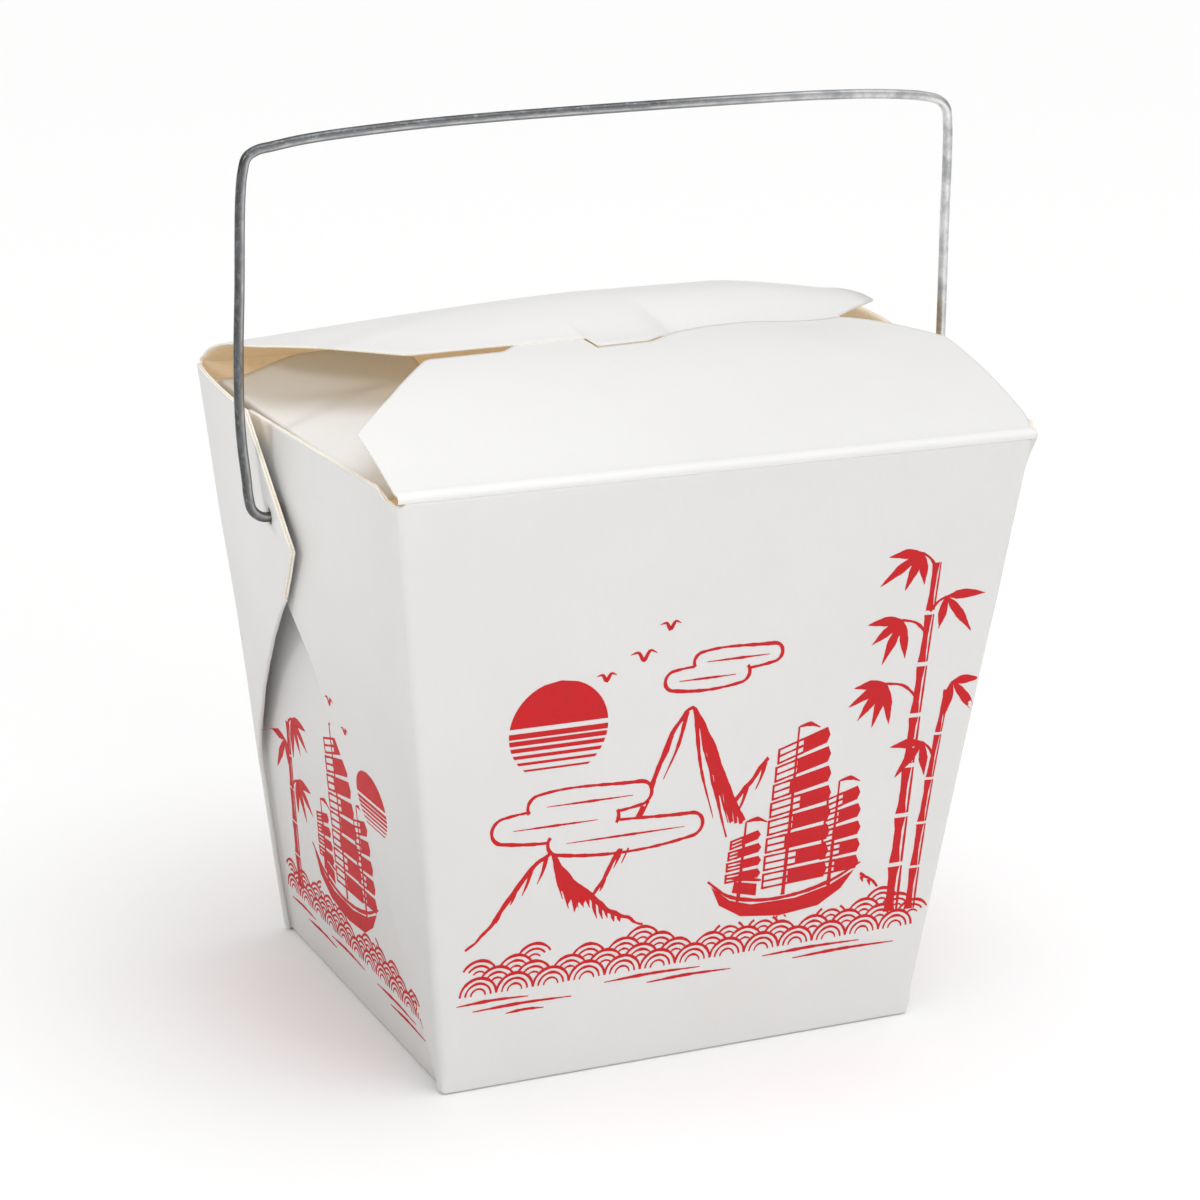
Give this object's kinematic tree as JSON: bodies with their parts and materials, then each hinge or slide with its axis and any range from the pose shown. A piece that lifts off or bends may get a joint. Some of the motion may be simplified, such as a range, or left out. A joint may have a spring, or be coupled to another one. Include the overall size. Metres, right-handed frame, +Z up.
{
  "type": "folding takeout carton",
  "caption": "Folding food pail: a tapered carton of white coated board with a two-flap locking lid, folded corner webs and a swinging wire handle.",
  "frame": {"origin": "middle of the carton's floor, on the surface that it stands on", "axes": "+X along the front wall towards its right end, +Y from the front wall to the back wall, +Z up"},
  "size_m": [0.1342, 0.0942, 0.1588],
  "materials": {
    "board": "white clay-coated paperboard, tan uncoated inside",
    "wire": "drawn zinc-coated steel wire"
  },
  "bodies": {
    "carton": {"carton_body": "board"},
    "lid": {"front_lid_flap": "board"},
    "handle": {"wire_handle": "wire"}
  },
  "joints": [
    {"name": "lid_fold", "type": "hinge", "parent": "carton", "child": "lid", "pos_m": [0, -0.04685, 0.1075], "axis": [1, 0, 0], "range_deg": [0, 115]},
    {"name": "handle_swing", "type": "hinge", "parent": "carton", "child": "handle", "pos_m": [0, -0.0012, 0.0925], "axis": [1, 0, 0], "range_deg": [-135, 135]}
  ]
}
